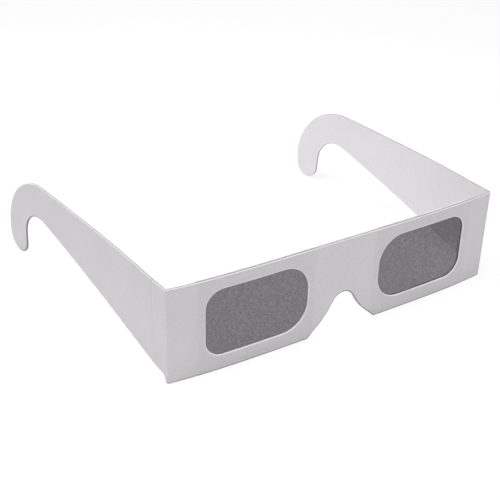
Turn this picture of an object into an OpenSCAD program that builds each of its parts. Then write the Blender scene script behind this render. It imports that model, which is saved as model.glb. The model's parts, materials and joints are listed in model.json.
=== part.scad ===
/* [Card] */
// Thickness of the white card that every panel is cut from
card_thickness = 0.6; // [0.4:0.05:0.8]
// Radial clearance between the rounded bead of a crease and the panel it turns in
crease_clearance = 0.03; // [0.02:0.01:0.1]

/* [Front panel] */
// Width over the outer faces of the two temple folds
front_width = 144; // [134:1:160]
// Height of the front panel
front_height = 37.8; // [35:0.1:42]
// How far the middle of the front panel bows out ahead of its folds
front_bow = 2.1; // [0.5:0.1:4]
// Power of the bow: 2 is an even curve, and higher values keep the middle flatter
bow_power = 4.4; // [2:0.1:6]

/* [Lens windows] */
// Distance from the middle of the front panel to the middle of a window
lens_offset = 36.9; // [35:0.1:40]
// Height of the middle of a window above the bottom edge
lens_mid_height = 19.4; // [18.5:0.1:20]
// Width of a window
lens_width = 41.8; // [34:0.1:43.5]
// Height of a window
lens_height = 26.8; // [22:0.1:28]
// Radius of the two corners near the temple
lens_outer_radius = 7; // [4:0.5:10]
// Radius of the two corners near the nose
lens_inner_radius = 10.6; // [5:0.1:11]

/* [Lens films] */
// Thickness of a polarising film
film_thickness = 0.25; // [0.15:0.05:0.5]
// How far a film laps past its window towards the nose
film_inner_lap = 2.7; // [2:0.1:5]
// How far a film and the rear card lap past a window towards the temple
film_outer_lap = 3.1; // [2:0.1:6]
// How far the top and bottom edges of a film lie inside the card edges
film_inset = 0.3; // [0.1:0.1:1]

/* [Nose notch] */
// Height of the notch
notch_height = 15.5; // [12:0.1:18]
// Width of the notch along the bottom edge
notch_width = 31; // [27:0.5:36]
// Radius of the top of the notch
notch_top_radius = 5; // [3.5:0.1:6]
// Angle of the upper flanks from the vertical
notch_flank_angle = 31.4; // [27:0.1:34]
// Height of the knee where a flank flares outwards
notch_knee_height = 6.8; // [5:0.1:8]
// Radius that blends the knee
notch_knee_radius = 22; // [10:1:26]

/* [Hinge strips] */
// Length of a hinge strip, from its fold to the second crease
strip_length = 8.2; // [7:0.1:12]
// Radius of the relief cut under a fold
relief_radius = 3; // [2:0.1:3.6]
// Distance from a fold to its relief cut
relief_offset = 0.9; // [0.7:0.1:1.5]

/* [Temples] */
// Length from a fold to the end of the ear hook
temple_length = 118; // [105:1:125]
// Slope of the lower edge where it leaves the hinge strip
taper_start_angle = 7; // [5:0.5:11]
// Slope of the lower edge where it meets the ear hook
taper_end_angle = 15.5; // [13:0.5:20]

/* [Ear hooks] */
// Radius of the outer curve of the hook
hook_outer_radius = 29; // [26:0.1:31]
// How far the top of the hook rises above the straight top edge
hook_rise = 0.6; // [0.3:0.1:2]
// Distance from the end of the hook to where the top edge starts to rise
hook_shoulder = 54; // [45:1:65]
// Width of the hook at its crown
hook_root_width = 15; // [13:0.1:16.5]
// Radius of the gap that goes over the ear
hook_gap_radius = 12.3; // [9:0.1:12.8]
// Radius of the rounded tip
hook_tip_radius = 6.4; // [5:0.1:7]
// Angle from the hook centre down to the tip centre
hook_tip_angle = 5.5; // [3:0.1:9]
// How far the inner edge of the hook leans back towards the gap
hook_lean = 0.4; // [0.2:0.1:1]

/* [Folded pose] */
// Inside angle between the front panel and the left hinge strip
left_fold_angle = 94.5; // [85:0.5:105]
// Inside angle between the front panel and the right hinge strip
right_fold_angle = 90; // [80:0.5:105]
// Outward bend at the second crease of the left temple
left_bend_angle = -3; // [-4:0.1:4]
// Outward bend at the second crease of the right temple
right_bend_angle = 2; // [-4:0.1:4]
// Angle through which the left temple curves outward over a full temple length
left_sweep_angle = 8.3; // [-15:0.1:15]
// Angle through which the right temple curves outward over a full temple length
right_sweep_angle = -13; // [-15:0.1:15]

/* [Hidden] */

// Margin by which a cutting shape runs past the face that it cuts
overcut = 1;
// Number of flat facets that follow the bow of the front panel
bow_facets = 36;
// Number of flat facets that follow the curve of a temple
temple_facets = 18;
// Largest angle between two points of an arc in the temple outline
arc_step = 4;
// Number of points along the lower edge of a temple
taper_points = 16;
$fn = 96;

card_color = "whitesmoke";
film_color = [0.3, 0.3, 0.32, 0.75];
glue_color = "ivory";

// A fold turns about a line on the inner face of the card
fold_x = front_width / 2 - card_thickness;
fold_y = card_thickness;

// Faces of the layers, as distances outwards from the inner face of the front card
front_card_outer = card_thickness;
front_card_inner = 0;
rear_card_outer = -film_thickness;
rear_card_inner = rear_card_outer - card_thickness;

lens_inner_edge = lens_offset - lens_width / 2;
lens_outer_edge = lens_offset + lens_width / 2;
film_inner_edge = lens_inner_edge - film_inner_lap;
film_outer_edge = lens_outer_edge + film_outer_lap;
rear_card_half_width = film_outer_edge;

// Nose notch, drawn on the +X side of the middle
notch_centre_height = notch_height - notch_top_radius;
notch_apex_height = notch_centre_height + notch_top_radius / sin(notch_flank_angle);
notch_knee_x = (notch_apex_height - notch_knee_height) * tan(notch_flank_angle);
notch_knee = [notch_knee_x, notch_knee_height];
notch_mouth = [notch_width / 2, 0];
notch_flank_top = [
    notch_top_radius * cos(notch_flank_angle),
    notch_centre_height + notch_top_radius * sin(notch_flank_angle)
];

// Ear hook, in the plane of a temple: distance from the fold, then height
hook_centre = [
    temple_length - hook_outer_radius,
    front_height + hook_rise - hook_outer_radius
];
tip_centre = hook_centre
    + (hook_outer_radius - hook_tip_radius) * [cos(hook_tip_angle), -sin(hook_tip_angle)];
gap_centre = [
    tip_centre[0] - hook_tip_radius - hook_gap_radius - hook_lean,
    front_height + hook_rise - hook_root_width - hook_gap_radius
];
// Direction, from each centre, of the points where the inner edge touches gap and tip
inner_edge_normal = direction(tip_centre - gap_centre)
    + acos((hook_gap_radius + hook_tip_radius) / norm(tip_centre - gap_centre));
// The straight top edge runs to the shoulder, then touches the outer curve of the hook
shoulder = [temple_length - hook_shoulder, front_height];
crown_normal = direction(shoulder - hook_centre)
    - acos(hook_outer_radius / norm(shoulder - hook_centre));

function direction(v) = atan2(v[1], v[0]);
function unit(v) = v / norm(v);
// Plan of the bow, which runs through both folds, and its slope
function bow_y(x) = fold_y - front_bow * (1 - pow(abs(x) / fold_x, bow_power));
function bow_slope(x) =
    sign(x) * front_bow * bow_power / fold_x * pow(abs(x) / fold_x, bow_power - 1);
// Point of a layer face at a distance outwards from the bow
function bow_point(x, distance) = [x, bow_y(x)] + distance * unit([bow_slope(x), -1]);
// Point of a panel that turns outwards by sweep over a full temple length: s is measured along
// its inner face, and out is the distance from that face
function bent_point(s, out, sweep) =
    let (turn = sweep * s / temple_length)
    let (chord = turn == 0 ? s : s * sin(turn / 2) * 360 / (PI * turn))
    chord * [sin(turn / 2), cos(turn / 2)] + out * [cos(turn), -sin(turn)];
function on_circle(centre, radius, angle) = centre + radius * [cos(angle), sin(angle)];
function arc(centre, radius, from, to) =
    let (steps = max(2, ceil(abs(to - from) / arc_step)))
    [for (i = [0:steps]) on_circle(centre, radius, from + (to - from) * i / steps)];
// Point where two lines meet, each given by a point and a slope angle
function crossing(p, p_angle, q, q_angle) =
    let (x = (q[1] - p[1] + p[0] * tan(p_angle) - q[0] * tan(q_angle)) / (tan(p_angle) - tan(q_angle)))
    [x, p[1] + (x - p[0]) * tan(p_angle)];
// A parabola that leaves p and reaches q along lines that meet at the control point
function parabola(p, control, q, count) =
    [for (i = [1:count - 1]) let (u = i / count)
        (1 - u) * (1 - u) * p + 2 * u * (1 - u) * control + u * u * q];

// Outline of a whole side, from its fold to the end of the hook
relief_centre = [relief_offset + relief_radius, 0];
taper_start = on_circle(relief_centre, relief_radius, 90 + taper_start_angle);
taper_end = on_circle(gap_centre, hook_gap_radius, 90 + taper_end_angle);
taper_control = crossing(taper_start, taper_start_angle, taper_end, taper_end_angle);
side_outline = concat(
    [[-card_thickness, front_height], [-card_thickness, 0]],
    arc(relief_centre, relief_radius, 180, 90 + taper_start_angle),
    parabola(taper_start, taper_control, taper_end, taper_points),
    arc(gap_centre, hook_gap_radius, 90 + taper_end_angle, inner_edge_normal),
    arc(tip_centre, hook_tip_radius, 180 + inner_edge_normal, 360 - hook_tip_angle),
    arc(hook_centre, hook_outer_radius, -hook_tip_angle, crown_normal),
    [shoulder]
);

// One square corner of a window, less its rounding
module corner_cut(radius) {
    difference() {
        translate([-overcut, -overcut]) square(radius + overcut);
        translate([radius, radius]) circle(radius);
    }
}

// Window on the +X side, seen from the front
module window_shape() {
    bottom = lens_mid_height - lens_height / 2;
    top = lens_mid_height + lens_height / 2;
    difference() {
        translate([lens_inner_edge, bottom]) square([lens_width, lens_height]);
        translate([lens_inner_edge, bottom]) corner_cut(lens_inner_radius);
        translate([lens_inner_edge, top]) mirror([0, 1]) corner_cut(lens_inner_radius);
        translate([lens_outer_edge, bottom]) mirror([1, 0]) corner_cut(lens_outer_radius);
        translate([lens_outer_edge, top]) rotate(180) corner_cut(lens_outer_radius);
    }
}

// The material that the blend at the knee takes off the card
module knee_blend() {
    up = unit(notch_flank_top - notch_knee);
    out = unit(notch_mouth - notch_knee);
    half_turn = acos(up * out) / 2;
    reach = notch_knee_radius / tan(half_turn);
    middle = notch_knee + unit(up + out) * notch_knee_radius / sin(half_turn);
    difference() {
        polygon([notch_knee + up * reach, [0, notch_knee_height], notch_knee + out * reach]);
        translate(middle) circle(notch_knee_radius, $fn = 360);
    }
}

module notch_half() {
    below = notch_mouth + (notch_mouth - notch_knee) * overcut / notch_knee[1];
    polygon([
        [-overcut, below[1]], below, notch_knee, notch_flank_top,
        [0, notch_centre_height], [-overcut, notch_centre_height]
    ]);
    knee_blend();
}

// Nose notch, seen from the front
module notch_shape() {
    notch_half();
    mirror([1, 0]) notch_half();
    translate([0, notch_centre_height]) circle(notch_top_radius);
}

// Bowed sheet between two faces, over the whole width and height
module bowed_sheet(inner, outer) {
    step = 2 * fold_x / bow_facets;
    places = [for (i = [-1:bow_facets + 1]) -fold_x + i * step];
    last = len(places) - 1;
    front_side = [for (x = places) bow_point(x, outer)];
    back_side = [for (i = [last:-1:0]) bow_point(places[i], inner)];
    translate([0, 0, -overcut])
        linear_extrude(front_height + 2 * overcut)
            polygon(concat(front_side, back_side));
}

// The part of a bowed sheet that lies behind a shape drawn from the front
module cut_to_shape(inner, outer) {
    depth = front_bow + 4 * card_thickness + 2 * film_thickness + 2 * overcut;
    intersection() {
        bowed_sheet(inner, outer);
        translate([0, depth - front_bow - overcut, 0])
            rotate([90, 0, 0])
                linear_extrude(depth) children();
    }
}

// A card panel, half_width to each side, with both windows and the notch
module panel_shape(half_width) {
    difference() {
        translate([-half_width, 0]) square([2 * half_width, front_height]);
        window_shape();
        mirror([1, 0]) window_shape();
        notch_shape();
    }
}

// A strip between the two cards, from x = low to x = high
module layer_shape(low, high) {
    difference() {
        translate([low, film_inset]) square([high - low, front_height - 2 * film_inset]);
        notch_shape();
    }
}

// Places a right-hand shape on the right side, or its mirror image on the left
module on_side(side) {
    if (side == "left") mirror([1, 0, 0]) children();
    else children();
}

// Frame of a fold: the strip runs along +Y and its outer face looks along +X
module at_fold(side, fold_angle) {
    on_side(side)
        translate([fold_x, fold_y, 0])
            rotate([0, 0, 90 - fold_angle])
                children();
}

// Frame of the second crease, at the far end of the hinge strip
module at_crease(side, fold_angle, bend) {
    at_fold(side, fold_angle)
        translate([0, strip_length, 0])
            rotate([0, 0, -bend])
                children();
}

// Round room that a panel leaves for the bead of the next one
module bead_room() {
    translate([0, 0, -overcut])
        cylinder(r = card_thickness + crease_clearance, h = front_height + 2 * overcut);
}

// Plan of a card panel of the given length that curves outwards
module curved_strip(length, sweep) {
    facets = sweep == 0 ? 1 : temple_facets;
    step = length / facets;
    outer_side = [for (i = [0:facets]) bent_point(i * step, card_thickness, sweep)];
    inner_side = [for (i = [facets:-1:0]) bent_point(i * step, 0, sweep)];
    polygon(concat(outer_side, inner_side));
}

// Card panel that starts at a crease with a half-round bead, cut to the side outline
module side_panel(start, length, sweep = 0) {
    tall = front_height + hook_rise + overcut;
    room = card_thickness + overcut + norm(bent_point(length, 0, sweep) - [0, length]);
    intersection() {
        linear_extrude(tall) {
            curved_strip(length, sweep);
            intersection() {
                circle(card_thickness);
                translate([-card_thickness, -card_thickness])
                    square([2 * card_thickness, card_thickness]);
            }
        }
        translate([-room, -start, 0])
            rotate([90, 0, 90])
                linear_extrude(2 * room)
                    polygon(side_outline);
    }
}

module hinge_strip(side, fold_angle) {
    at_fold(side, fold_angle)
        difference() {
            side_panel(0, strip_length);
            translate([0, strip_length, 0]) bead_room();
        }
}

module temple(side, fold_angle, bend, sweep) {
    at_crease(side, fold_angle, bend)
        side_panel(strip_length, temple_length, sweep);
}

module front_card() {
    color(card_color)
        difference() {
            cut_to_shape(front_card_inner, front_card_outer) panel_shape(fold_x);
            for (side = ["left", "right"])
                on_side(side) translate([fold_x, fold_y, 0]) bead_room();
        }
}

module rear_card() {
    color(card_color)
        cut_to_shape(rear_card_inner, rear_card_outer) panel_shape(rear_card_half_width);
}

module bridge_glue() {
    color(glue_color)
        cut_to_shape(rear_card_outer, front_card_inner)
            layer_shape(-film_inner_edge, film_inner_edge);
}

module right_film() {
    color(film_color)
        cut_to_shape(rear_card_outer, front_card_inner)
            layer_shape(film_inner_edge, film_outer_edge);
}

module left_film() {
    on_side("left") right_film();
}

module left_hinge_strip() {
    color(card_color) hinge_strip("left", left_fold_angle);
}

module right_hinge_strip() {
    color(card_color) hinge_strip("right", right_fold_angle);
}

module left_temple() {
    color(card_color)
        temple("left", left_fold_angle, left_bend_angle, left_sweep_angle);
}

module right_temple() {
    color(card_color)
        temple("right", right_fold_angle, right_bend_angle, right_sweep_angle);
}

front_card();
rear_card();
bridge_glue();
left_film();
right_film();
left_hinge_strip();
left_temple();
right_hinge_strip();
right_temple();
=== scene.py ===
"""Folding card viewing glasses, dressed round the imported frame, with floor, light and camera."""

import json
import math
from types import SimpleNamespace

import bmesh
import bpy
from mathutils import Matrix, Vector


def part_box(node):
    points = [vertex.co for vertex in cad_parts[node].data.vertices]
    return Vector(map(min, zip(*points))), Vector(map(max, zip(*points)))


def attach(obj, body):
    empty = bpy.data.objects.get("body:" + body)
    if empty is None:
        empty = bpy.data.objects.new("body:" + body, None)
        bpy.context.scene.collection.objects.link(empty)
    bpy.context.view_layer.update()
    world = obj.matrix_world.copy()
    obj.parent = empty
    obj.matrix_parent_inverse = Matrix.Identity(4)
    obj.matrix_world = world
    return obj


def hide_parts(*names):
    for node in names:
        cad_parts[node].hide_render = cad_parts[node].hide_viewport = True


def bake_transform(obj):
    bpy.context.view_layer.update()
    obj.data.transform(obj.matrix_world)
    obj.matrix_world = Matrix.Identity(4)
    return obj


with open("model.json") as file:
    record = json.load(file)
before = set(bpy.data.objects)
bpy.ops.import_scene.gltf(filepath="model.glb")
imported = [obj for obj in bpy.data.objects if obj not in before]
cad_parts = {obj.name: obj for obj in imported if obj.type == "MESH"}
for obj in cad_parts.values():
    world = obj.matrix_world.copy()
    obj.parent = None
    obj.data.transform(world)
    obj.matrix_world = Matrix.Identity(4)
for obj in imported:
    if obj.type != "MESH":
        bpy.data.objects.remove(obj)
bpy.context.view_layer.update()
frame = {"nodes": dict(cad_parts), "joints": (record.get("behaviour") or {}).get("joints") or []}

MM = 0.001
JOINTS = {joint["name"]: joint for joint in frame["joints"]}
CARD_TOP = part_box("front_card")[1].z
# Distances from the middle of the glasses to the two ends of a film
FILM_LOW, FILM_HIGH = sorted(abs(corner.x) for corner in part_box("right_film"))

# Camera of the photograph, in the row frame
CAMERA_PLACE = Vector((-195.49, -240.62, 206.30)) * MM
CAMERA_YAW = 0.57412
CAMERA_PITCH = 0.51643
CAMERA_ROLL = 0.02243
CAMERA_FOCAL_PIXELS = 983.78
CAMERA_CLIP = (0.01, 20)
IMAGE_PIXELS = 500
SENSOR_MM = 36

# Limits below which two points, or a point and a plane, count as one
HAIR = 1e-6
WELD = 2e-7
ON_PLANE = 1e-8

# Card, and the rounding of its cut edges
CARD_THICKNESS = 0.6 * MM
WINDOW_ROUNDING = 0.28 * MM
OUTER_ROUNDING = 0.42 * MM
INNER_ROUNDING = 0.14 * MM
EDGE_PROFILE = 0.64
EDGE_SEGMENTS = 4

# Angles between two faces: within one flat face, at most between facets of a curved face, and at
# least at a corner of the outline
FLAT_ANGLE = math.radians(0.05)
FACET_ANGLE = math.radians(1)
CORNER_ANGLE = math.radians(35)

# How squarely a face looks outwards: the face of a panel itself, its face beside an outer corner,
# the outer half of an edge, and a side panel's face seen from the side
FACE_LEAN = 0.95
CORNER_LEAN = 0.8
OUTER_LEAN = 0.5
SIDE_LEAN = 0.9

# Degrees to each side through which the faces of a curved panel turn
FAN_STEP = 1.5
BOW_FAN = 9
TEMPLE_FAN = 15
FOLD_FAN = 54

# Pieces that cross a fold or a crease: how far they stand proud of the panels that they join, how
# far they reach over them, and how much of the panels' ends they take the place of
PROUD = 0.008 * MM
FOLD_REACH_FRONT = 0.9 * MM
FOLD_REACH_STRIP = 0.75 * MM
FOLD_TRIM = 0.55 * MM
FOLD_STEPS = 14
CREASE_REACH = 1.3 * MM
CREASE_TRIM = 1.0 * MM
CREASE_STEPS = 24
# Line pressed into the outer face at a crease, and the part of its depth that shows inside
SCORE_DEPTH = 0.16 * MM
SCORE_WIDTH = 0.36 * MM
SCORE_INSIDE = 0.6

# How far from a crease and a fold the directions of the panels are measured, and the spacing that
# tells neighbouring points of the bow apart
CREASE_NEIGHBOURHOOD = 9 * MM
FOLD_NEIGHBOURHOOD = 4 * MM
BOW_SPACING = 2 * MM
# Height by which the two ends of an edge of the upper or lower outline differ at most
LEVEL_LIMIT = 1 * MM

# Step of the cards where they are pressed out over a film, and where the mesh is cut for it
FILM_STEP_HEIGHT = 0.04 * MM
FILM_STEP_WIDTH = 0.5 * MM
FILM_STEP_CUTS = (-0.5, -0.25, 0, 0.25, 0.5)
# Half the width over which the tone of the card changes there
FILM_TONE_SOFTNESS = 0.9 * MM

# Room round both windows, as distances from the middle and as heights, and the strip beside them
# in which a facet line of the bow would cross their rounding
WINDOW_ACROSS = (15.2 * MM, 58.6 * MM)
WINDOW_HEIGHTS = (5 * MM, 33.8 * MM)
BESIDE_WINDOW = (15.7 * MM, 15.99 * MM)
# How much larger the rear card's window is than the front card's on the left, on each side
REAR_WINDOW_MARGIN = 0.7 * MM

# Colours of the card: plain, on cut edges as painted highlight and painted shade, and over a film
CARD_COLOUR = (0.70, 0.678, 0.70, 1)
# Pale fibre of the cut, and painted highlight where a cut edge looks up
PALE_CUT_AND_HIGHLIGHT_COLOUR = (0.95, 0.935, 0.95, 1)
# Painted shade on cut edges that look sideways or down, and on their inner halves
PAINTED_EDGE_SHADE_COLOUR = (0.10, 0.097, 0.10, 1)
UNDER_FILM_COLOUR = (0.672, 0.65, 0.672, 1)

# Painted highlight and painted shade of a cut edge by piece and by half of the edge: how much of
# each it gets where it looks up, and then how much of each where it looks sideways or down
EDGE_HIGHLIGHT_AND_SHADE = {
    ("front", "outer"): (1.0, 0.0, 0.0, 1.0),
    ("front", "inner"): (0.0, 0.6, 0.0, 0.16),
    ("rear", "outer"): (0.2, 0.0, 0.0, 0.48),
    ("rear", "inner"): (0.2, 0.0, 0.0, 0.24),
    ("side", "outer"): (1.0, 0.0, 0.0, 0.72),
    ("side", "inner"): (0.0, 0.6, 0.0, 0.8),
}
# How steeply an edge looks up where the change to the upper, mostly painted-highlight tone starts,
# and over what range
UP_START = 0.1
UP_RANGE = 0.4
# What is left of the painted shade where an edge of a front panel looks left, as at the nose notch
LEFT_SHARE = 0.35
LEFT_START = 0.3
# Marks of faces, and how much painted highlight and painted shade the marked faces get: window rims
# a painted highlight, partly the paler fibre of the cut, and the walls of a score line painted
# highlight and shade
MARKS = ["plain", "rounded", "window", "score_painted_shade", "score_painted_highlight"]
MARK_TONES = {"window": (1.0, 0.0), "score_painted_shade": (0.0, 0.1), "score_painted_highlight": (0.35, 0.0)}

# Noise patterns: cells per metre, detail and roughness
CARD_GRAIN = (2600, 3, 0.6)
CARD_SPECKLE = (1300, 2, 0.6)
CARD_CLOUD = (55, 2, 0.5)
FILM_GRAIN = (1300, 2, 0.6)
FILM_RIPPLE = (120, 2, 0.5)
GLUE_LUMPS = (700, 4, 0.6)
FLOOR_CLOUD = (30, 2, 0.5)
# Two sets of fibres: stretch and turn of the space, and the noise pattern
CARD_FIBRES = [
    ((1.0, 1.0, 7.0), (0.3, 0.5, 0.2), (620, 4, 0.6)),
    ((6.0, 6.0, 1.0), (0.2, 0.4, 0.9), (540, 4, 0.6)),
]
# Range that holds nearly all of one noise, and of the sum of two
ONE_NOISE = (0.3, 0.7)
TWO_NOISES = (0.6, 1.4)

# What the patterns do: factors on the card's colour, shares in its relief, ranges of roughness
# and of the film's density, and strength and height of each bump
FIBRE_TONES = (0.978, 1.022)
CLOUD_TONES = (0.988, 1.012)
SPECKLE_TONES = (0.965, 1.035)
FIBRE_RELIEF = 0.5
GRAIN_RELIEF = 0.4
CARD_ROUGHNESS = (0.62, 0.78)
CARD_BUMP = (0.22, 0.02 * MM)
FILM_COLOURS = ((0.048, 0.026, 0.048, 1), (0.018, 0.002, 0.018, 1))
FILM_ALPHA = (0.574, 0.676)
FILM_ROUGHNESS = (0.16, 0.24)
FILM_BUMP = (0.05, 0.01 * MM)
GLUE_COLOURS = ((0.66, 0.64, 0.6, 1), (0.78, 0.77, 0.74, 1))
GLUE_ROUGHNESS = (0.35, 0.5)
GLUE_BUMP = (0.4, 0.03 * MM)

# Floor and world, as light on the object and as the background that is seen
FLOOR_HALF_WIDTH = 4.0
FLOOR_HEIGHT = -0.05 * MM
FLOOR_COLOURS = ((0.79, 0.788, 0.79, 1), (0.81, 0.808, 0.81, 1))
SEEN_FLOOR_COLOUR = (0.22, 0.22, 0.22, 1)
SEEN_FLOOR_GLOW = 0.79
WORLD_COLOUR = (1, 1, 1, 1)
WORLD_STRENGTH = 0.4
BACKDROP_COLOUR = (1.0, 0.996, 1.0, 1)
BACKDROP_STRENGTH = 1.0

# Soft lamps: name, place, the point that each looks at, width and power
LAMPS = [
    ("key", (-1.1, 0.35, 1.3), (0, 0.05, 0.02), 0.9, 6.0),
    ("overhead", (-0.05, -0.02, 0.55), (0, 0.03, 0.02), 0.35, 2.05),
    ("front", (0.9, -1.2, 0.7), (0, 0.05, 0.02), 1.0, 2.4),
    ("inside", (-0.05, 0.16, 0.30), (0.06, 0.10, 0.02), 0.12, 0.26),
]


# Node trees


def add_node(tree, kind, **settings):
    node = tree.nodes.new(kind)
    for key, value in settings.items():
        setattr(node, key, value)
    return node


def link(tree, source, target):
    tree.links.new(source, target)


def set_or_link(tree, value, socket):
    """Gives a socket a constant, or links it to another socket."""
    if isinstance(value, (int, float, tuple)):
        socket.default_value = value
    else:
        link(tree, value, socket)


def blank_material(name):
    material = bpy.data.materials.new(name)
    material.use_nodes = True
    tree = material.node_tree
    tree.nodes.clear()
    output = add_node(tree, "ShaderNodeOutputMaterial")
    return material, tree, output


def object_place(tree):
    return add_node(tree, "ShaderNodeTexCoord").outputs["Object"]


def noise(tree, vector, pattern):
    node = add_node(tree, "ShaderNodeTexNoise")
    for socket, value in zip(("Scale", "Detail", "Roughness"), pattern):
        node.inputs[socket].default_value = value
    link(tree, vector, node.inputs["Vector"])
    return node.outputs["Fac"]


def spread(tree, value, to_range, from_range=(0.0, 1.0), smooth=False):
    """Maps one range to another."""
    node = add_node(tree, "ShaderNodeMapRange")
    if smooth:
        node.interpolation_type = "SMOOTHSTEP"
    for word, (low, high) in (("From", from_range), ("To", to_range)):
        node.inputs[word + " Min"].default_value = low
        node.inputs[word + " Max"].default_value = high
    link(tree, value, node.inputs["Value"])
    return node.outputs["Result"]


def math_node(tree, operation, *values):
    node = add_node(tree, "ShaderNodeMath", operation=operation)
    for socket, value in zip(node.inputs, values):
        set_or_link(tree, value, socket)
    return node.outputs["Value"]


def mix_colour(tree, factor, first, second):
    node = add_node(tree, "ShaderNodeMix", data_type="RGBA")
    # Factor and two colours are sockets 0, 6 and 7, and the mixed colour is output 2
    for index, value in ((0, factor), (6, first), (7, second)):
        set_or_link(tree, value, node.inputs[index])
    return node.outputs[2]


def stretched(tree, vector, scale, turn):
    node = add_node(tree, "ShaderNodeMapping")
    node.inputs["Scale"].default_value = scale
    node.inputs["Rotation"].default_value = turn
    link(tree, vector, node.inputs["Vector"])
    return node.outputs["Vector"]


def scaled(tree, vector, factor):
    node = add_node(tree, "ShaderNodeVectorMath", operation="SCALE")
    link(tree, vector, node.inputs[0])
    link(tree, factor, node.inputs["Scale"])
    return node.outputs[0]


def bump(tree, height, strength, distance):
    node = add_node(tree, "ShaderNodeBump")
    node.inputs["Strength"].default_value = strength
    node.inputs["Distance"].default_value = distance
    link(tree, height, node.inputs["Height"])
    return node.outputs["Normal"]


def surface(tree, output, constants, linked):
    shader = add_node(tree, "ShaderNodeBsdfPrincipled")
    for socket, value in constants.items():
        shader.inputs[socket].default_value = value
    for socket, source in linked.items():
        link(tree, source, shader.inputs[socket])
    link(tree, shader.outputs[0], output.inputs["Surface"])


# Materials


def white_card(name, over_film):
    """Uncoated white board: fibres, speckle, soft mottle, and painted highlight and painted shade
    on its cut edges.

    With over_film it is darker between the two ends of each film.
    """
    material, tree, output = blank_material(name)
    place = object_place(tree)
    fibres = math_node(
        tree,
        "ADD",
        *(noise(tree, stretched(tree, place, *space), pattern) for *space, pattern in CARD_FIBRES),
    )
    grain = noise(tree, place, CARD_GRAIN)
    speckle = noise(tree, place, CARD_SPECKLE)
    cloud = noise(tree, place, CARD_CLOUD)

    colour = CARD_COLOUR
    if over_film:
        split = add_node(tree, "ShaderNodeSeparateXYZ")
        link(tree, place, split.inputs[0])
        across = math_node(tree, "ABSOLUTE", split.outputs["X"])
        near, far = (
            spread(tree, across, change, (end - FILM_TONE_SOFTNESS, end + FILM_TONE_SOFTNESS), True)
            for end, change in ((FILM_LOW, (0, 1)), (FILM_HIGH, (1, 0)))
        )
        covered = math_node(tree, "MULTIPLY", near, far)
        colour = mix_colour(tree, covered, CARD_COLOUR, UNDER_FILM_COLOUR)
    # Painted highlight, partly the paler fibre of the cut, and painted shade on the cut edges
    for layer, edge_colour in (("pale_cut_and_highlight", PALE_CUT_AND_HIGHLIGHT_COLOUR), ("painted_edge_shade", PAINTED_EDGE_SHADE_COLOUR)):
        edge = add_node(tree, "ShaderNodeAttribute", attribute_name=layer).outputs["Fac"]
        colour = mix_colour(tree, edge, colour, edge_colour)
    tone = math_node(
        tree,
        "MULTIPLY",
        spread(tree, fibres, FIBRE_TONES, TWO_NOISES),
        spread(tree, cloud, CLOUD_TONES, ONE_NOISE),
    )
    tone = math_node(tree, "MULTIPLY", tone, spread(tree, speckle, SPECKLE_TONES, ONE_NOISE))

    relief = math_node(
        tree,
        "ADD",
        math_node(tree, "MULTIPLY", fibres, FIBRE_RELIEF),
        math_node(tree, "MULTIPLY", grain, GRAIN_RELIEF),
    )
    constants = {"IOR": 1.45, "Specular IOR Level": 0.25}
    linked = {
        "Base Color": scaled(tree, colour, tone),
        "Roughness": spread(tree, grain, CARD_ROUGHNESS, ONE_NOISE),
        "Normal": bump(tree, relief, *CARD_BUMP),
    }
    surface(tree, output, constants, linked)
    return material


def grey_film(name):
    """Neutral polarising film: smooth gloss over a fine grain, dark but seen through."""
    material, tree, output = blank_material(name)
    place = object_place(tree)
    dense = spread(tree, noise(tree, place, FILM_GRAIN), (0, 1), ONE_NOISE)
    ripple = noise(tree, place, FILM_RIPPLE)
    constants = {"IOR": 1.49, "Specular IOR Level": 0.4}
    linked = {
        "Base Color": mix_colour(tree, dense, *FILM_COLOURS),
        "Roughness": spread(tree, ripple, FILM_ROUGHNESS, ONE_NOISE),
        "Alpha": spread(tree, dense, FILM_ALPHA),
        "Normal": bump(tree, ripple, *FILM_BUMP),
    }
    surface(tree, output, constants, linked)
    return material


def dried_glue(name):
    """White glue between the cards, with a faint sheen and small lumps."""
    material, tree, output = blank_material(name)
    lumps = noise(tree, object_place(tree), GLUE_LUMPS)
    linked = {
        "Base Color": mix_colour(tree, lumps, *GLUE_COLOURS),
        "Roughness": spread(tree, lumps, GLUE_ROUGHNESS),
        "Normal": bump(tree, lumps, *GLUE_BUMP),
    }
    surface(tree, output, {}, linked)
    return material


panel_card = white_card("card_over_film", over_film=True)
side_card = white_card("card", over_film=False)
film = grey_film("film")
glue = dried_glue("glue")


# Meshes


def flat(vector):
    return Vector((vector.x, vector.y, 0))


def copied(node):
    """The node's mesh as a bmesh, joined at its seams and with each flat face in one piece."""
    bm = bmesh.new()
    bm.from_mesh(frame["nodes"][node].data)
    bmesh.ops.remove_doubles(bm, verts=bm.verts, dist=WELD)
    bmesh.ops.dissolve_limit(bm, angle_limit=FLAT_ANGLE, verts=bm.verts, edges=bm.edges)
    bmesh.ops.recalc_face_normals(bm, faces=bm.faces)
    return bm


def cut(bm, point, normal, trim=False):
    """Cuts the mesh at a plane. With trim, what lies along the normal goes and the end closes."""
    geometry = bm.verts[:] + bm.edges[:] + bm.faces[:]
    made = bmesh.ops.bisect_plane(
        bm, geom=geometry, dist=ON_PLANE, plane_co=point, plane_no=normal, clear_outer=trim
    )
    if trim:
        rim = [e for e in made["geom_cut"] if isinstance(e, bmesh.types.BMEdge)]
        bmesh.ops.edgenet_fill(bm, edges=rim)


def prism(section):
    """Closed prism from plan points (x, y, lowest, highest), listed in turn round the section."""
    bm = bmesh.new()
    low = [bm.verts.new((x, y, bottom)) for x, y, bottom, top in section]
    high = [bm.verts.new((x, y, top)) for x, y, bottom, top in section]
    bm.faces.new(low)
    bm.faces.new(high)
    for i in range(len(section)):
        j = (i + 1) % len(section)
        bm.faces.new((low[i], low[j], high[j], high[i]))
    bmesh.ops.recalc_face_normals(bm, faces=bm.faces)
    return bm


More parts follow.
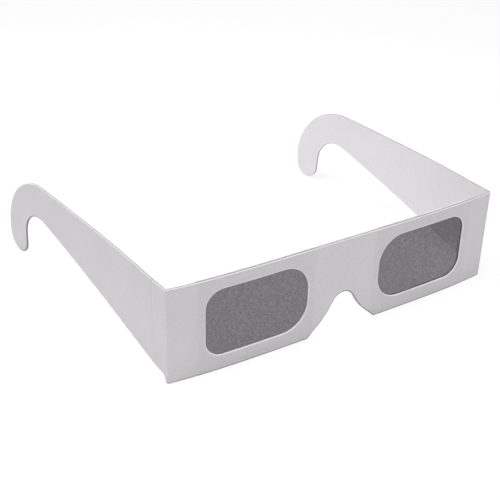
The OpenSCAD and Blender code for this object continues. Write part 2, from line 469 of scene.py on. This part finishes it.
def marks_of(bm):
    return bm.faces.layers.int.get("marks") or bm.faces.layers.int.new("marks")


def fanned(middle, fan):
    """Directions round a middle one, for a panel that curves in plan."""
    steps = round(fan / FAN_STEP)
    turns = (math.radians(i * FAN_STEP) for i in range(-steps, steps + 1))
    return [Matrix.Rotation(turn, 3, "Z") @ middle for turn in turns]


def lean(face, facing):
    """How squarely a face looks outwards (1) or inwards (-1), and what direction shows it best."""
    outer = max(facing, key=lambda direction: abs(face.normal.dot(direction)))
    return face.normal.dot(outer), outer


def level(edge):
    """Whether an edge belongs to the upper or lower outline, not to an upright end."""
    return abs(edge.verts[0].co.z - edge.verts[1].co.z) < LEVEL_LIMIT


def is_corner(edge, marks):
    """Whether an edge is a sharp one that isn't rounded yet."""
    unrounded = all(MARKS[face[marks]] not in ("rounded", "window") for face in edge.link_faces)
    return edge.is_manifold and unrounded and edge.calc_face_angle() > CORNER_ANGLE


def round_off(bm, edges, kind, offset):
    """Rounds edges and marks the new faces."""
    marks = marks_of(bm)
    made = bmesh.ops.bevel(
        bm,
        geom=edges,
        offset=offset,
        offset_type="OFFSET",
        segments=EDGE_SEGMENTS,
        profile=EDGE_PROFILE,
        affect="EDGES",
        clamp_overlap=False,
    )
    for face in made["faces"]:
        face[marks] = MARKS.index(kind)


def round_rim(bm, chosen, facing):
    """Rounds the chosen corners, more on the outer side, where the cutting die went in."""
    marks = marks_of(bm)

    def is_outer(edge):
        return any(lean(face, facing)[0] > CORNER_LEAN for face in edge.link_faces)

    outer = [e for e in bm.edges if is_corner(e, marks) and chosen(e) and is_outer(e)]
    round_off(bm, outer, "rounded", OUTER_ROUNDING)
    bm.normal_update()
    inner = [e for e in bm.edges if is_corner(e, marks) and chosen(e)]
    round_off(bm, inner, "rounded", INNER_ROUNDING)


def edge_tone(face, mark, facing, piece_kind):
    """How much painted highlight and painted shade a face gets: a marked one, a face of the panel,
    or part of an edge.
    """
    along, outer = lean(face, facing)
    if mark in MARK_TONES:
        return MARK_TONES[mark]
    if mark == "plain" and abs(along) > FACE_LEAN:
        return 0.0, 0.0
    half = "outer" if along > OUTER_LEAN else "inner"
    across = face.normal - outer * along
    up = across.z / max(across.length, HAIR)
    top = min(max((up - UP_START) / UP_RANGE, 0.0), 1.0)
    tones = EDGE_HIGHLIGHT_AND_SHADE[piece_kind, half]
    light, dark = (top * tones[i] + (1 - top) * tones[i + 2] for i in (0, 1))
    # Less painted shade on front edges that look left
    if piece_kind != "side" and across.x < -LEFT_START * across.length:
        dark *= LEFT_SHARE
    return light, dark


def finished(name, bm, facing, material, piece_kind):
    """Makes the object. facing lists the directions in which its outer side looks.

    Without a piece_kind, for a film, no face gets the painted highlight and shade of a cut edge.
    """
    bmesh.ops.recalc_face_normals(bm, faces=bm.faces)
    marks = marks_of(bm)
    # Shares of painted highlight and painted shade for each face
    light = bm.faces.layers.float.new("pale_cut_and_highlight")
    dark = bm.faces.layers.float.new("painted_edge_shade")
    for face in bm.faces:
        face.smooth = True
        if piece_kind:
            # Left of the rear card the front card is a single layer, as the sides are
            single = piece_kind == "front" and face.calc_center_median().x < -FILM_HIGH
            kind = "side" if single else piece_kind
            face[light], face[dark] = edge_tone(face, MARKS[face[marks]], facing, kind)
    for edge in bm.edges:
        edge.smooth = edge.is_manifold and edge.calc_face_angle() < CORNER_ANGLE
    mesh = bpy.data.meshes.new(name)
    bm.to_mesh(mesh)
    bm.free()
    mesh.materials.append(material)
    piece = bpy.data.objects.new(name, mesh)
    bpy.context.scene.collection.objects.link(piece)
    weighted = piece.modifiers.new("weighted_normals", "WEIGHTED_NORMAL")
    weighted.keep_sharp = True
    return piece


# Front and rear card


def rise(value):
    """Smooth step from 0 to 1."""
    value = min(max(value, 0.0), 1.0)
    return value * value * (3 - 2 * value)


def film_step(across):
    """How far the card is pressed out over the film, from 0 to 1."""
    near = rise((across - FILM_LOW) / FILM_STEP_WIDTH + 0.5)
    far = rise((FILM_HIGH - across) / FILM_STEP_WIDTH + 0.5)
    return near * far


def in_window(vertex):
    across = WINDOW_ACROSS[0] < abs(vertex.co.x) < WINDOW_ACROSS[1]
    return across and WINDOW_HEIGHTS[0] < vertex.co.z < WINDOW_HEIGHTS[1]


def widen_left_window(bm):
    """Moves the outline of the left window away from its middle by the margin."""
    rim = [v for v in bm.verts if v.co.x < 0 and in_window(v)]
    for axis in (0, 2):
        low = min(v.co[axis] for v in rim)
        high = max(v.co[axis] for v in rim)
        middle, half = (low + high) / 2, (high - low) / 2
        for v in rim:
            v.co[axis] = middle + (v.co[axis] - middle) * (half + REAR_WINDOW_MARGIN) / half


def merge_facets_at_windows(bm):
    """Takes out the facet lines of the bow that run beside a window, within its rounding."""
    beside = []
    for edge in bm.edges:
        reach = [abs(v.co.x) for v in edge.verts]
        if BESIDE_WINDOW[0] < min(reach) and max(reach) < BESIDE_WINDOW[1]:
            if edge.is_manifold and edge.calc_face_angle() < FACET_ANGLE:
                beside.append(edge)
    bmesh.ops.dissolve_edges(bm, edges=beside, use_verts=True)


def front_panel(node, name, piece_kind):
    """Dresses the front or the rear card. The fold pieces take over the ends of the front one."""
    in_front = piece_kind == "front"
    outer_sign = -1 if in_front else 1
    bm = copied(node)
    merge_facets_at_windows(bm)
    if in_front:
        limit = abs(JOINTS["right_fold"]["pos_m"][0]) - FOLD_TRIM
        for side in (-1, 1):
            cut(bm, (side * limit, 0, 0), (side, 0, 0), trim=True)
    for side in (-1, 1):
        for film_end in (FILM_LOW, FILM_HIGH):
            for share in FILM_STEP_CUTS:
                cut(bm, (side * (film_end + share * FILM_STEP_WIDTH), 0, 0), (side, 0, 0))
    ends = max(v.co.x for v in bm.verts) - HAIR
    if not in_front:
        widen_left_window(bm)

    def window(edge):
        return all(in_window(v) for v in edge.verts)

    def outline(edge):
        covered = in_front and min(abs(v.co.x) for v in edge.verts) >= ends
        return not covered and not window(edge)

    facing = fanned(Vector((0, outer_sign, 0)), BOW_FAN)
    marks = marks_of(bm)
    # The window rims are marked for a painted highlight, which also stands for the paler fibre of
    # the cut
    window_rim = [e for e in bm.edges if is_corner(e, marks) and window(e)]
    round_off(bm, window_rim, "window", WINDOW_ROUNDING)
    bm.normal_update()
    round_rim(bm, outline, facing)
    for v in bm.verts:
        if v.normal.y * outer_sign > OUTER_LEAN:
            v.co.y += outer_sign * FILM_STEP_HEIGHT * film_step(abs(v.co.x))
    piece = finished(name, bm, facing, panel_card, piece_kind)
    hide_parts(node)
    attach(piece, "front")


front_panel("front_card", "front_panel", "front")
front_panel("rear_card", "rear_panel", "rear")


# Sides


def outward(node, side, crease):
    """Direction in which the outer face of a side panel looks beside its crease."""
    total = Vector()
    for polygon in frame["nodes"][node].data.polygons:
        near = flat(polygon.center - crease).length < CREASE_NEIGHBOURHOOD
        if polygon.normal.x * side > SIDE_LEAN and near:
            total += polygon.normal * polygon.area
    return total.normalized()


def bow_depth(across):
    """y of the outer face of the front card at a distance from the middle, from its top outline."""
    groups = {}
    for vertex in frame["nodes"]["front_card"].data.vertices:
        x, y, z = vertex.co
        if z > CARD_TOP - HAIR and x > 0:
            groups.setdefault(round(x / BOW_SPACING), []).append((y, x))
    bow = sorted(min(group)[::-1] for group in groups.values())
    for (x0, y0), (x1, y1) in zip(bow, bow[1:]):
        if x0 <= across <= x1:
            return y0 + (y1 - y0) * (across - x0) / (x1 - x0)
    return bow[-1][1]


def lowest_at(bm, origin, direction, distance):
    """Height of the lower outline where a plane crosses the mesh."""
    lows = []
    for edge in bm.edges:
        a, b = ((v.co - origin).dot(direction) - distance for v in edge.verts)
        if a * b <= 0 and a != b:
            first, second = (v.co.z for v in edge.verts)
            lows.append(first + (second - first) * a / (a - b))
    return min(lows)


def between_ends(bm, direction, two_ends):
    """Tells the edges of a panel's outline from those of its end, or ends, at a fold or crease."""
    near = min(v.co.dot(direction) for v in bm.verts) + HAIR
    far = max(v.co.dot(direction) for v in bm.verts) - HAIR if two_ends else math.inf

    def chosen(edge):
        reach = [v.co.dot(direction) for v in edge.verts]
        return max(reach) >= near and min(reach) <= far

    return chosen


def side_frame(word, side):
    """Where the fold and crease of a side are, and how its panels run and look there."""
    fold = Vector(JOINTS[word + "_fold"]["pos_m"])
    crease = Vector(JOINTS[word + "_crease"]["pos_m"])
    temple_out = outward(word + "_temple", side, crease)
    near = abs(fold.x) - FOLD_NEIGHBOURHOOD
    far = abs(fold.x) - FOLD_REACH_FRONT
    slope = (bow_depth(far) - bow_depth(near)) / (far - near)
    along_front = Vector((-side, -slope, 0)).normalized()
    return SimpleNamespace(
        fold=fold,
        crease=crease,
        along_front=along_front,
        along_strip=flat(crease - fold).normalized(),
        along_temple=Vector((-temple_out.y, temple_out.x, 0)) * side,
        front_out=Vector((-along_front.y, along_front.x, 0)) * side,
        strip_out=outward(word + "_hinge_strip", side, crease),
        temple_out=temple_out,
    )


def side_panels(word, at):
    """Dresses a hinge strip and a temple, and returns their lowest points beside the crease."""
    strip = copied(word + "_hinge_strip")
    temple = copied(word + "_temple")
    lows = (
        lowest_at(strip, at.crease, at.along_strip, -CREASE_REACH),
        lowest_at(temple, at.crease, at.along_temple, CREASE_REACH),
    )
    cut(strip, at.fold + at.along_strip * FOLD_TRIM, -at.along_strip, trim=True)
    cut(strip, at.crease - at.along_strip * CREASE_TRIM, at.along_strip, trim=True)
    cut(temple, at.crease + at.along_temple * CREASE_TRIM, -at.along_temple, trim=True)
    strip_outline = between_ends(strip, at.along_strip, two_ends=True)
    temple_outline = between_ends(temple, at.along_temple, two_ends=False)
    for bm, outline, out, name, node, body in (
        (strip, strip_outline, at.strip_out, "_strip_panel", "_hinge_strip", "_strip"),
        (temple, temple_outline, at.temple_out, "_temple_panel", "_temple", "_side"),
    ):
        facing = fanned(out, TEMPLE_FAN)
        round_rim(bm, outline, facing)
        piece = finished(word + name, bm, facing, side_card, "side")
        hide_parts(word + node)
        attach(piece, word + body)
    return lows


def fold_piece(word, at):
    """Bent card at a fold, from the end of the front panel round to the hinge strip."""
    start = math.atan2(at.front_out.y, at.front_out.x)
    end = math.atan2(at.strip_out.y, at.strip_out.x)
    turn = (end - start + math.pi) % (2 * math.pi) - math.pi
    radius = CARD_THICKNESS + PROUD
    arc = []
    for i in range(FOLD_STEPS + 1):
        angle = start + turn * i / FOLD_STEPS
        arc.append(at.fold + radius * Vector((math.cos(angle), math.sin(angle), 0)))
    front_end = at.along_front * FOLD_REACH_FRONT
    strip_end = at.along_strip * FOLD_REACH_STRIP
    section = [
        at.fold + (front_end + at.front_out * radius),
        *arc,
        at.fold + (strip_end + at.strip_out * radius),
        at.fold + (strip_end - at.strip_out * PROUD),
        at.fold - (at.front_out + at.strip_out).normalized() * PROUD,
        at.fold + (front_end - at.front_out * PROUD),
    ]
    bm = prism([(point.x, point.y, -PROUD / 2, CARD_TOP + PROUD / 2) for point in section])
    facing = fanned((at.front_out + at.strip_out).normalized(), FOLD_FAN)
    round_rim(bm, level, facing)
    piece = finished(word + "_fold", bm, facing, side_card, "side")
    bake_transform(piece)


def crease_piece(word, at, strip_low, temple_low):
    """Card at the second crease, from the hinge strip to the temple, with its pressed line."""
    outer, inner = [], []
    for i in range(CREASE_STEPS + 1):
        reach = CREASE_REACH * (2 * i / CREASE_STEPS - 1)
        share = min(max(reach / CREASE_TRIM * 0.5 + 0.5, 0), 1)
        out = at.strip_out.lerp(at.temple_out, share).normalized()
        base = at.crease + (at.along_strip if reach < 0 else at.along_temple) * reach
        dip = SCORE_DEPTH * math.exp(-((reach / SCORE_WIDTH) ** 2))
        low = strip_low + (temple_low - strip_low) * i / CREASE_STEPS - PROUD / 2
        outer.append((base + out * (CARD_THICKNESS + PROUD - dip), low))
        inner.append((base - out * (PROUD + SCORE_INSIDE * dip), low))
    section = outer + inner[::-1]
    bm = prism([(point.x, point.y, low, CARD_TOP + PROUD / 2) for point, low in section])
    marks = marks_of(bm)
    for face in bm.faces:
        reach = flat(face.calc_center_median() - at.crease).dot(at.along_strip)
        # The score line's walls get painted highlight on the strip side and painted shade on the
        # temple side
        if face.normal.dot(at.strip_out) > OUTER_LEAN and abs(reach) < SCORE_WIDTH:
            face[marks] = MARKS.index("score_painted_highlight" if reach < 0 else "score_painted_shade")
    facing = [at.strip_out, at.temple_out]
    round_rim(bm, level, facing)
    piece = finished(word + "_crease", bm, facing, side_card, "side")
    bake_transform(piece)


for word, side in (("left", -1), ("right", 1)):
    at = side_frame(word, side)
    strip_low, temple_low = side_panels(word, at)
    fold_piece(word, at)
    crease_piece(word, at, strip_low, temple_low)


# Films and glue

for word in ("left", "right"):
    piece = finished(word + "_film_sheet", copied(word + "_film"), [], film, None)
    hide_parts(word + "_film")
    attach(piece, "front")

glue_node = frame["nodes"]["bridge_glue"]
glue_node.data.materials.clear()
glue_node.data.materials.append(glue)


# Floor, light and camera


def seen_directly(tree):
    """1 for rays that show the background: from the camera, in gloss and through clear material."""
    path = add_node(tree, "ShaderNodeLightPath")
    seen = math_node(
        tree, "MAXIMUM", path.outputs["Is Camera Ray"], path.outputs["Is Glossy Ray"]
    )
    return math_node(tree, "MAXIMUM", seen, path.outputs["Is Transmission Ray"])


def choose(tree, output, hidden, seen):
    """Surface that lights the object as one shader and is seen as another."""
    chosen = add_node(tree, "ShaderNodeMixShader")
    for socket, source in zip(chosen.inputs, (seen_directly(tree), hidden, seen)):
        link(tree, source, socket)
    link(tree, chosen.outputs[0], output.inputs["Surface"])


def plain_shader(tree, kind, colour, strength=None):
    """Output of a shader with one colour, and a strength where it glows."""
    node = add_node(tree, kind)
    node.inputs["Color"].default_value = colour
    if strength is not None:
        node.inputs["Strength"].default_value = strength
    return node.outputs[0]


def make_floor():
    material, tree, output = blank_material("floor")
    pale = add_node(tree, "ShaderNodeBsdfDiffuse")
    cloud = noise(tree, object_place(tree), FLOOR_CLOUD)
    link(tree, mix_colour(tree, cloud, *FLOOR_COLOURS), pale.inputs["Color"])
    shadowed = plain_shader(tree, "ShaderNodeBsdfDiffuse", SEEN_FLOOR_COLOUR)
    glow = plain_shader(tree, "ShaderNodeEmission", BACKDROP_COLOUR, SEEN_FLOOR_GLOW)
    seen = add_node(tree, "ShaderNodeAddShader")
    link(tree, shadowed, seen.inputs[0])
    link(tree, glow, seen.inputs[1])
    choose(tree, output, pale.outputs[0], seen.outputs[0])
    mesh = bpy.data.meshes.new("floor")
    ring = ((-1, -1), (1, -1), (1, 1), (-1, 1))
    corners = [(x * FLOOR_HALF_WIDTH, y * FLOOR_HALF_WIDTH, FLOOR_HEIGHT) for x, y in ring]
    mesh.from_pydata(corners, [], [(0, 1, 2, 3)])
    mesh.materials.append(material)
    floor = bpy.data.objects.new("floor", mesh)
    bpy.context.scene.collection.objects.link(floor)


def make_world():
    world = bpy.data.worlds.new("studio")
    bpy.context.scene.world = world
    world.use_nodes = True
    tree = world.node_tree
    tree.nodes.clear()
    output = add_node(tree, "ShaderNodeOutputWorld")
    around = plain_shader(tree, "ShaderNodeBackground", WORLD_COLOUR, WORLD_STRENGTH)
    backdrop = plain_shader(tree, "ShaderNodeBackground", BACKDROP_COLOUR, BACKDROP_STRENGTH)
    choose(tree, output, around, backdrop)


def make_lamp(name, place, target, size, power):
    light = bpy.data.lights.new(name, "AREA")
    light.shape = "DISK"
    light.size = size
    light.energy = power
    lamp = bpy.data.objects.new(name, light)
    bpy.context.scene.collection.objects.link(lamp)
    lamp.location = place
    lamp.rotation_mode = "QUATERNION"
    lamp.rotation_quaternion = (Vector(target) - Vector(place)).to_track_quat("-Z", "Y")


def make_camera():
    cos_yaw, sin_yaw = math.cos(CAMERA_YAW), math.sin(CAMERA_YAW)
    cos_pitch, sin_pitch = math.cos(CAMERA_PITCH), math.sin(CAMERA_PITCH)
    cos_roll, sin_roll = math.cos(CAMERA_ROLL), math.sin(CAMERA_ROLL)
    ahead = Vector((sin_yaw * cos_pitch, cos_yaw * cos_pitch, -sin_pitch))
    sideways = Vector((cos_yaw, -sin_yaw, 0))
    upright = sideways.cross(ahead)
    right = sideways * cos_roll + upright * sin_roll
    up = upright * cos_roll - sideways * sin_roll
    data = bpy.data.cameras.new("camera")
    data.sensor_width = SENSOR_MM
    data.lens = CAMERA_FOCAL_PIXELS * SENSOR_MM / IMAGE_PIXELS
    data.clip_start, data.clip_end = CAMERA_CLIP
    camera = bpy.data.objects.new("camera", data)
    bpy.context.scene.collection.objects.link(camera)
    turn = Matrix((right, up, -ahead)).transposed().to_4x4()
    camera.matrix_world = Matrix.Translation(CAMERA_PLACE) @ turn
    bpy.context.scene.camera = camera


make_floor()
make_world()
for lamp_values in LAMPS:
    make_lamp(*lamp_values)
make_camera()

bpy.context.scene.view_settings.view_transform = "Standard"
